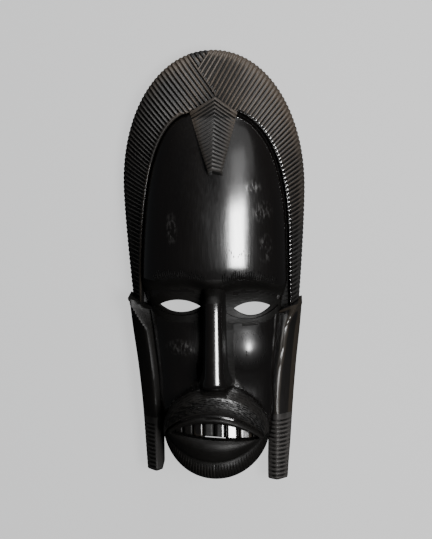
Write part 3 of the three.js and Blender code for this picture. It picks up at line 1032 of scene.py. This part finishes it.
def goatee_paths():
    paths = []
    chance = random.Random(5)
    for i in range(BEARD_STROKES):
        angle = math.radians(lerp(-168, -10, (i + 0.5) / BEARD_STROKES))
        start, end = 5.25 + chance.uniform(0, 0.2), 7.75 + chance.uniform(-0.25, 0.1)
        paths.append(lambda t, a=angle, s=start, e=end: muzzle_point(lerp(s, e, (t + 1) / 2), a))
    return paths


def moustache_paths(first):
    """Every other row of the moustache, because strokes of one kind must not touch."""
    paths = []
    chance = random.Random(11 + first)
    for row in range(first, 12, 2):
        ring = 5.3 + 0.2 * row
        angle = 14 + 4 * (row % 3)
        while angle < 162:
            span = chance.uniform(6, 13)
            tilt = chance.uniform(-0.05, 0.08)
            ends = math.radians(angle), math.radians(angle + span)
            paths.append(lambda t, r=ring, w=tilt, e=ends: muzzle_point(r + w * t, lerp(*e, (t + 1) / 2)))
            angle += span + chance.uniform(1, 3)
    return paths


moustache_strokes = len(moustache_paths(0) + moustache_paths(1))
print(BEARD_STROKES, "strokes in the beard and", moustache_strokes, "in the moustache")


# %% Brows and pits
def on_face(x, y):
    return Vector((x, y, face_z(x, y)))


def brow_paths():
    paths = []
    chance = random.Random(3)
    for side, first, last in ((-1, 8, 55), (1, 9, 57)):
        x = first
        while x < last:
            at = side * x
            top = brow_y(at) + 10.5 + chance.uniform(-3, 2)
            bottom = brow_y(at) + 3 + chance.uniform(-1, 1)
            lean = 0.012 * at
            paths.append(
                lambda t, a=at, n=lean, b=bottom, p=top: on_face(a + n * t, lerp(b, p, (t + 1) / 2))
            )
            x += 1.75 + chance.uniform(-0.2, 0.3)
    return paths


def pit_paths():
    """Small pits in the wood: a scattered row over the right brow, and a few on the cheeks."""
    chance = random.Random(8)
    places = [(16 + 2.1 * i + chance.uniform(-1, 1), 222 + chance.uniform(-4, 4)) for i in range(9)]
    places += [(28.5, 130), (28.5, 127.5), (-22, 98), (-33, 133), (-30, 138)]
    paths = []
    for x, y in places:
        half = chance.uniform(0.7, 1.5)
        paths.append(lambda t, a=x, b=y, h=half: on_face(a, b + h * t))
    return paths


print(len(brow_paths()), "strokes in the brows and", len(pit_paths()), "small pits")

# %% [markdown]
# ## Carving
# Now the forms are joined and the cuts are made, in the order in which a later one may run over an
# earlier one. The sockets come first, so that the nose isn't cut by them, and the knife strokes last.
# The block is then moved over the frame's node and scaled to metres in its mesh, so that the object
# itself stays at the origin, unturned and unscaled.


# %% Join the forms
def joined():
    block = head()
    for cut in sockets():
        combine(block, cut, "DIFFERENCE")
    for form in hairs() + [forelock(), nose(), muzzle(), ear(-1), ear(1)] + teeth():
        combine(block, form, "UNION")
    return block


mask = joined()
mask.name = "carved_mask"
print(len(mask.data.polygons), "faces when joined")


# %% Make the cuts
BEARD_STROKE = (1.1, 0.8)  # half width and depth
MOUSTACHE_STROKE = (0.6, 0.55)
BROW_STROKE = (0.6, 0.6)
PIT = (0.5, 0.5)


def knife_cuts():
    return [
        strokes(goatee_paths(), *BEARD_STROKE),
        strokes(moustache_paths(0), *MOUSTACHE_STROKE),
        strokes(moustache_paths(1), *MOUSTACHE_STROKE),
        strokes(brow_paths(), *BROW_STROKE),
        strokes(pit_paths(), *PIT, MATT),
    ]


for cutter in [hollow(), saw_cut(), mouth_slit()] + eye_holes() + knife_cuts():
    combine(mask, cutter, "DIFFERENCE")
mask.data.name = "carved_mask"
mask.data.transform(Matrix.Translation((0, -HEIGHT / 2, 0)))
mask.data.transform(Matrix.Scale(MM, 4))
print(len(mask.data.polygons), "faces when cut")

# %% Look for open seams
seams = bmesh.new()
seams.from_mesh(mask.data)
open_edges = sum(1 for edge in seams.edges if len(edge.link_faces) != 2)
triangles = len(seams.calc_loop_triangles())
seams.free()
print(f"carved: {triangles} triangles, {open_edges} open edges")

# %% Smooth shading, and its place in the frame
CREASE = 38  # degrees, a sharper edge than this stays an edge
mask.data.shade_smooth()
mask.data.set_sharp_from_angle(angle=math.radians(CREASE))
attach(mask, "root")
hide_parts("mask")
print("the mask stands in for the frame's node")

# %% [markdown]
# ## Worn edges
# Polish and hands take the black off whatever stands out, and the grooves stay dark. To find what
# stands out, each vertex is compared with its own place on a smoothed copy of the mesh. The difference
# is stored as an attribute, which the finishes can read.

# %% Wear
WEAR_DEPTH = 0.45  # standing this far out of the smoothed surface counts as fully worn
SMOOTHINGS = 14


def store_wear(mesh):
    """Stores how far each vertex stands out of the smoothed mesh: 0 in a groove, 1 on a ridge."""
    shape = bmesh.new()
    shape.from_mesh(mesh)
    places = [vert.co.copy() for vert in shape.verts]
    normals = [vert.normal.copy() for vert in shape.verts]
    for _ in range(SMOOTHINGS):
        bmesh.ops.smooth_vert(
            shape, verts=shape.verts, factor=0.5, use_axis_x=True, use_axis_y=True, use_axis_z=True
        )
    values = []
    for vert, place, normal in zip(shape.verts, places, normals):
        height = (place - vert.co).dot(normal) / (WEAR_DEPTH * MM)
        values.append(min(1, max(0, 0.5 + 0.5 * height)))
    shape.free()
    wear = mesh.attributes.new("wear", "FLOAT", "POINT")
    wear.data.foreach_set("value", values)
    print("mean wear", round(sum(values) / len(values), 2))


store_wear(mask.data)

# %% [markdown]
# ## Shader maths
# A finish is a network of nodes. Wired by hand, even a short sum takes many lines. A socket wrapped in
# a small class can be added and multiplied like a number, and each sign adds its Math node by itself.


# %% Sockets as expressions
class Value:
    def __init__(self, tree, socket):
        self.tree = tree
        self.socket = socket

    def math(self, operation, other=None, swap=False):
        inputs = [self, other] if not swap else [other, self]
        inputs = {i: value for i, value in enumerate(inputs) if value is not None}
        return node(self.tree, "ShaderNodeMath", {"operation": operation}, inputs)

    def __add__(self, other):
        return self.math("ADD", other)

    __radd__ = __add__

    def __sub__(self, other):
        return self.math("SUBTRACT", other)

    def __rsub__(self, other):
        return self.math("SUBTRACT", other, swap=True)

    def __mul__(self, other):
        return self.math("MULTIPLY", other)

    __rmul__ = __mul__

    def clamped(self):
        return node(self.tree, "ShaderNodeClamp", {}, {"Value": self})


def node(tree, kind, settings, inputs, output=0):
    """Adds any node: its settings first, then the values or links of its sockets."""
    made = tree.nodes.new(kind)
    for name, setting in settings.items():
        setattr(made, name, setting)
    for name, value in inputs.items():
        if isinstance(value, Value):
            tree.links.new(value.socket, made.inputs[name])
        elif isinstance(value, tuple) and len(value) == 3 and len(made.inputs[name].default_value) == 4:
            made.inputs[name].default_value = (*value, 1)
        else:
            made.inputs[name].default_value = value
    return Value(tree, made.outputs[output])


def mix_colours(tree, factor, first, second):
    """In a Mix node of colours these are inputs 0, 6 and 7, and the mixed colour is output 2."""
    return node(tree, "ShaderNodeMix", {"data_type": "RGBA"}, {0: factor, 6: first, 7: second}, 2)


def with_nodes(material):
    material.use_nodes = True
    tree = material.node_tree
    return tree, tree.nodes["Principled BSDF"]


def feed(tree, shader, **values):
    """Sets the shader's own sockets, or links them."""
    for name, value in values.items():
        socket = shader.inputs[name.replace("_", " ")]
        if isinstance(value, Value):
            tree.links.new(value.socket, socket)
        elif isinstance(value, tuple):
            socket.default_value = (*value, 1)
        else:
            socket.default_value = value


print("a finish starts with", [each.name for each in with_nodes(finishes[POLISHED])[0].nodes])

# %% [markdown]
# ## Patterns in the wood
# Every pattern reads the place on the object itself, so it stays with the wood when the mask is moved.
# Noise that is drawn out along Y is grain or scratches, and round noise is haze or dust. `worn` reads
# the stored wear. `spots` is 1 in some listed ovals: where the real mask is scuffed, where its cheek is
# touched, and where shade is painted on the forelock and the upper left of the hair and light on the
# longer lobe.

# %% Patterns
OBJECT = 3  # the output of a Texture Coordinate node that gives Object coordinates
FACTOR = 2  # the output of an Attribute node that gives a number


def object_noise(tree, scale, stretch=(1, 1, 1), detail=3, place=(0, 0, 0)):
    where = node(tree, "ShaderNodeTexCoord", {}, {}, OBJECT)
    mapped = node(tree, "ShaderNodeMapping", {}, {0: where, "Scale": stretch, "Location": place})
    return node(tree, "ShaderNodeTexNoise", {}, {"Vector": mapped, "Scale": scale, "Detail": detail})


def object_along(tree, axis):
    """The place along X, Y or Z, in metres."""
    where = node(tree, "ShaderNodeTexCoord", {}, {}, OBJECT)
    return node(tree, "ShaderNodeSeparateXYZ", {}, {0: where}, axis)


def worn(tree):
    return node(tree, "ShaderNodeAttribute", {"attribute_name": "wear"}, {}, FACTOR)


def bumped(tree, height, distance):
    return node(tree, "ShaderNodeBump", {}, {"Height": height, "Distance": distance, "Strength": 1})


def set_gloss(shader, level, ior=1.5):
    """Oiled and rubbed wood reflects more than bare wood."""
    shader.inputs["IOR"].default_value = ior
    shader.inputs["Specular IOR Level"].default_value = level


def tell(finish):
    print(FINISHES[finish], "ebony has", len(finishes[finish].node_tree.nodes), "nodes")


# %% Places of their own
SCUFFS = (  # x and y of the middle, half width and half height, in mm from the middle of the mask
    (-36, 45, 5, 14), (45, 58, 8, 9), (47, 25, 6, 12), (-30, -66, 14, 7), (37, 79, 7, 7), (40, -4, 6, 6),
)
THUMBED = ((31, -68, 17, 17),)  # the cheek is touched most, and its shine is softer
PAINTED_SHADE_SPOTS = ((2, 128, 17, 38), (-60, 128, 33, 60), (-38, 162, 19, 19))  # painted shade: the forelock and the upper left of the hair are darker
PAINTED_LIGHT_LOBE = ((56, -170, 24, 60),)  # painted light: the ridges of the longer lobe are a lighter grey


def spots(tree, places):
    """1 in the middle of the places, 0 away from them."""
    where = node(tree, "ShaderNodeTexCoord", {}, {}, OBJECT)
    total = None
    for x, y, half_width, half_height in places:
        middle = (-x / half_width, -y / half_height, 0)
        scale = (1 / half_width / MM, 1 / half_height / MM, 0)
        placed = node(tree, "ShaderNodeMapping", {}, {0: where, "Location": middle, "Scale": scale})
        away = node(tree, "ShaderNodeVectorMath", {"operation": "LENGTH"}, {0: placed}, 1)
        spot = (1.6 - away * 1.3).clamped()
        total = spot if total is None else total.math("MAXIMUM", spot)
    return total


print(len(SCUFFS), "scuffed places")

# %% [markdown]
# ## Polished ebony
# Forehead, nose and cheeks were scraped, oiled and rubbed until they mirror the lamps. Ebony is nearly
# black, so almost all that one sees is what it reflects: the roughness does the work and the colour
# very little. Fine scratches along the grain, a haze and the scuffs make the reflection uneven.


# %% Polished
def polished_ebony():
    tree, shader = with_nodes(finishes[POLISHED])
    heartwood, streak, scuffed = (0.0006, 0.0005, 0.0005), (0.0018, 0.0014, 0.0012), (0.009, 0.0084, 0.0081)
    streaks = object_noise(tree, 60, (1, 0.12, 1), 4)
    scratches = object_noise(tree, 900, (1, 0.035, 1), 2)
    haze = object_noise(tree, 35, (1, 0.5, 1), 3, (3, 0, 0))
    specks = (object_noise(tree, 420, (1, 0.4, 1), 4, (0, 2, 0)) * 5 - 2.3).clamped()
    scuffs = specks * spots(tree, SCUFFS)
    colour = mix_colours(tree, streaks, heartwood, streak)
    colour = mix_colours(tree, scuffs, colour, scuffed)
    roughness = 0.1 + haze * 0.08 + scratches * 0.1 + scuffs * 0.16 + spots(tree, THUMBED) * 0.16
    relief = bumped(tree, scratches, 0.000015)
    set_gloss(shader, 0.75, 1.6)
    feed(tree, shader, Base_Color=colour, Roughness=roughness, Normal=relief)


polished_ebony()
tell(POLISHED)

# %% [markdown]
# ## Satin and dull ebony
# The rag doesn't reach everywhere. On the right ear, the lip of the hair and the edges of the eyes the
# shine is broken, and where an edge stands out it is worn a little brown. Beside the nose, in the
# sockets, on the lips and on the left ear the wood was only scraped, so it hardly shines at all.


# %% Satin and dull
def satin_ebony():
    tree, shader = with_nodes(finishes[SATIN])
    heartwood, streak, bared = (0.0007, 0.0006, 0.0006), (0.0026, 0.0022, 0.002), (0.0075, 0.006, 0.0045)
    streaks = object_noise(tree, 70, (1, 0.1, 1), 4)
    grain = object_noise(tree, 800, (1, 0.06, 1), 3)
    edges = (worn(tree) * 8 - 6.8).clamped()
    colour = mix_colours(tree, streaks, heartwood, streak)
    colour = mix_colours(tree, edges, colour, bared)
    relief = bumped(tree, grain, 0.00006)
    set_gloss(shader, 0.6)
    feed(tree, shader, Base_Color=colour, Roughness=0.24 + grain * 0.14, Normal=relief)


def dull_ebony():
    tree, shader = with_nodes(finishes[DULL])
    heartwood, dusty = (0.0007, 0.0007, 0.0006), (0.003, 0.0027, 0.0025)
    patches = object_noise(tree, 55, (1, 0.6, 1), 4)
    grain = object_noise(tree, 500, (0.3, 1, 1), 3)
    colour = mix_colours(tree, patches, heartwood, dusty)
    relief = bumped(tree, grain, 0.0003)
    set_gloss(shader, 0.1)
    feed(tree, shader, Base_Color=colour, Roughness=0.4 + grain * 0.2, Normal=relief)


satin_ebony()
dull_ebony()
tell(SATIN)
tell(DULL)

# %% [markdown]
# ## Stroked and matt ebony
# Where a knife or a gouge has left ridges, the ridges are rubbed grey or brown and the valleys stay
# black. The stored wear tells the two apart. Moustache and beard keep a little shine. The hair has
# hardly any, and turns browner towards the crown. Its ridges are darker on the forelock and the upper
# left, which is painted shade, and a lighter grey on the longer lobe, which is painted light.


# %% Stroked and matt
def stroked_ebony():
    tree, shader = with_nodes(finishes[STROKED])
    valley, ridge = (0.0004, 0.0004, 0.0004), (0.0036, 0.0032, 0.0029)
    grain = object_noise(tree, 400, (1, 0.3, 1), 3)
    colour = mix_colours(tree, (worn(tree) * 2.4 - 0.9).clamped(), valley, ridge)
    relief = bumped(tree, grain, 0.0003)
    set_gloss(shader, 0.3)
    feed(tree, shader, Base_Color=colour, Roughness=0.3 + grain * 0.15, Normal=relief)


def matt_ebony():
    tree, shader = with_nodes(finishes[MATT])
    valley, grey, brown = (0.0006, 0.0005, 0.0004), (0.0072, 0.0068, 0.0065), (0.019, 0.0148, 0.0112)
    # painted shade and painted light: the first colour darkens the ridges of the forelock and the upper
    # left of the hair, the second is a lighter grey for the ridges of the longer lobe
    painted_shade_ridge, rubbed = (0.0042, 0.0036, 0.0031), (0.0135, 0.0126, 0.0119)
    patches = object_noise(tree, 22, (1, 1, 1), 4)
    grain = object_noise(tree, 700, (1, 0.25, 1), 3)
    towards_crown = object_along(tree, 1) * 9 - 1.4
    browned = (object_noise(tree, 9, (1, 1, 1), 3, (5, 0, 0)) * 2 + towards_crown).clamped()
    ridge = mix_colours(tree, browned, grey, brown)
    # painted shade: darker ridges on the forelock and the upper left of the hair
    ridge = mix_colours(tree, spots(tree, PAINTED_SHADE_SPOTS), ridge, painted_shade_ridge)
    # painted light: lighter grey ridges on the longer lobe
    ridge = mix_colours(tree, spots(tree, PAINTED_LIGHT_LOBE), ridge, rubbed)
    bared = (worn(tree) * 2.5 - 1.05).clamped() * (0.4 + patches * 1.2)
    colour = mix_colours(tree, bared.clamped(), valley, ridge)
    relief = bumped(tree, grain, 0.0001)
    set_gloss(shader, 0.16)
    feed(tree, shader, Base_Color=colour, Roughness=0.46 + grain * 0.2, Normal=relief)


stroked_ebony()
matt_ebony()
tell(STROKED)
tell(MATT)

# %% [markdown]
# ## Rough ebony
# The back was never finished. There the wood is bare, browner and without shine, and shows its grain.


# %% Rough
def rough_ebony():
    tree, shader = with_nodes(finishes[ROUGH])
    bare, pale = (0.008, 0.0065, 0.0052), (0.026, 0.02, 0.015)
    patches = object_noise(tree, 30, (1, 0.3, 1), 4)
    grain = object_noise(tree, 500, (1, 0.1, 1), 3)
    colour = mix_colours(tree, patches, bare, pale)
    relief = bumped(tree, grain, 0.0002)
    feed(tree, shader, Base_Color=colour, Roughness=0.6 + grain * 0.2, Normal=relief)


rough_ebony()
tell(ROUGH)

# %% [markdown]
# ## The floor
# The mask lies on pale paper. In the photograph the paper hangs far behind the mask, evenly lit, and
# neither lights it from below nor shows in its polish. So the floor's paleness is mostly a light of its
# own, a little brighter to the right, and the floor is kept out of what the mask reflects.

# %% Floor
FLOOR_SIZE = 4
PAPER_LEFT, PAPER_RIGHT = (0.86, 0.865, 0.87), (1, 1, 1)
PAPER_GLOW = 0.92


def floor():
    shape = bmesh.new()
    bmesh.ops.create_grid(shape, x_segments=1, y_segments=1, size=FLOOR_SIZE / 2)
    mesh = bpy.data.meshes.new("floor")
    shape.to_mesh(mesh)
    shape.free()
    piece = bpy.data.objects.new("floor", mesh)
    bpy.context.scene.collection.objects.link(piece)
    paper = bpy.data.materials.new("pale_paper")
    tree, shader = with_nodes(paper)
    across = (object_along(tree, 0) * 1.6 + 0.5).clamped()
    glow = mix_colours(tree, across, PAPER_LEFT, PAPER_RIGHT)
    feed(tree, shader, Base_Color=(0.03, 0.03, 0.03), Roughness=0.9)
    feed(tree, shader, Emission_Color=glow, Emission_Strength=PAPER_GLOW)
    mesh.materials.append(paper)
    piece.visible_diffuse = False
    piece.visible_glossy = False


floor()
print("the floor is", FLOOR_SIZE, "m wide")

# %% [markdown]
# ## Light
# Black polish shows lamps as white shapes, so each lamp is placed by the shape it leaves. The tall key
# softbox on the right makes the long line down forehead and nose and the spot on the cheek. The wide
# one beyond the crown lights the ridges of the hair. Two faint ones stand for a bright ceiling and give
# the upper forehead its soft grey. The world is nearly dark, so that the left side stays black.


# %% Aiming
def aim(thing, position):
    """Turns a lamp to the mask, with its upper edge towards the crown."""
    away = position.normalized()
    right = Vector((0, 1, 0)).cross(away).normalized()
    turned = Matrix((right, away.cross(right), away)).transposed().to_4x4()
    turned.translation = position
    thing.matrix_world = turned


def direction(right, up):
    """A direction from the mask, right and up in degrees from straight over it."""
    right, up = math.radians(right), math.radians(up)
    return Vector((math.sin(right) * math.cos(up), math.sin(up), math.cos(right) * math.cos(up)))


print("a lamp 45 degrees to the right lies towards", [round(part, 2) for part in direction(45, 0)])


# %% Lamps
def softbox(name, right, up, distance, width, height, power):
    lamp = bpy.data.lights.new(name, "AREA")
    lamp.shape = "RECTANGLE"
    lamp.size = width
    lamp.size_y = height
    lamp.energy = power
    holder = bpy.data.objects.new(name, lamp)
    bpy.context.scene.collection.objects.link(holder)
    aim(holder, direction(right, up) * distance)


# degrees to the right and up, then distance, width and height in metres, then watts
softbox("key_softbox", 24.5, -2, 1.3, 0.42, 0.72, 64)
softbox("top_softbox", 60, 79, 1.6, 1.2, 0.5, 135)
softbox("ceiling_bounce", 30, 36, 1.6, 1.3, 0.8, 1.7)
softbox("ceiling_middle", 27, 29, 1.6, 0.5, 0.3, 0.6)

world = bpy.data.worlds.new("studio")
world.use_nodes = True
world.node_tree.nodes["Background"].inputs["Color"].default_value = (0.9, 0.95, 1, 1)
world.node_tree.nodes["Background"].inputs["Strength"].default_value = 0.04
bpy.context.scene.world = world
print(len(bpy.data.lights), "lamps")

# %% [markdown]
# ## Camera
# The photograph was taken from a little above and a little to the right, with the mask leaning about a
# degree. The mask lies down here, so the camera looks down on it from that side. Its lens is worked out
# from how many pixels of the photograph one millimetre of the mask takes up.

# %% Camera
PHOTO_WIDTH, PHOTO_HEIGHT = 432, 539
PIXELS_PER_MM = 1.0705
MIDDLE_PIXEL = (216.1, 265.2)  # where the middle of the mask's back plane falls
CAMERA_RIGHT, CAMERA_UP, CAMERA_ROLL = 2.5, 9, -1.244  # degrees
CAMERA_DISTANCE = 1.6
SENSOR = 36


def add_camera():
    away = direction(CAMERA_RIGHT, CAMERA_UP)
    right = Vector((math.cos(math.radians(CAMERA_RIGHT)), 0, -math.sin(math.radians(CAMERA_RIGHT))))
    upward = away.cross(right)
    turn = math.radians(CAMERA_ROLL)
    right, upward = (
        right * math.cos(turn) + upward * math.sin(turn),
        upward * math.cos(turn) - right * math.sin(turn),
    )
    pixel = MM / PIXELS_PER_MM
    offset = right * (PHOTO_WIDTH / 2 - MIDDLE_PIXEL[0]) - upward * (PHOTO_HEIGHT / 2 - MIDDLE_PIXEL[1])
    camera = bpy.data.cameras.new("photo_view")
    camera.sensor_fit = "VERTICAL"
    camera.sensor_height = SENSOR
    camera.lens = camera.sensor_height * CAMERA_DISTANCE / (PHOTO_HEIGHT * pixel)
    holder = bpy.data.objects.new("photo_view", camera)
    bpy.context.scene.collection.objects.link(holder)
    turned = Matrix((right, upward, away)).transposed().to_4x4()
    turned.translation = away * CAMERA_DISTANCE + offset * pixel
    holder.matrix_world = turned
    bpy.context.scene.camera = holder


add_camera()
print("lens", round(bpy.context.scene.camera.data.lens, 1), "mm")
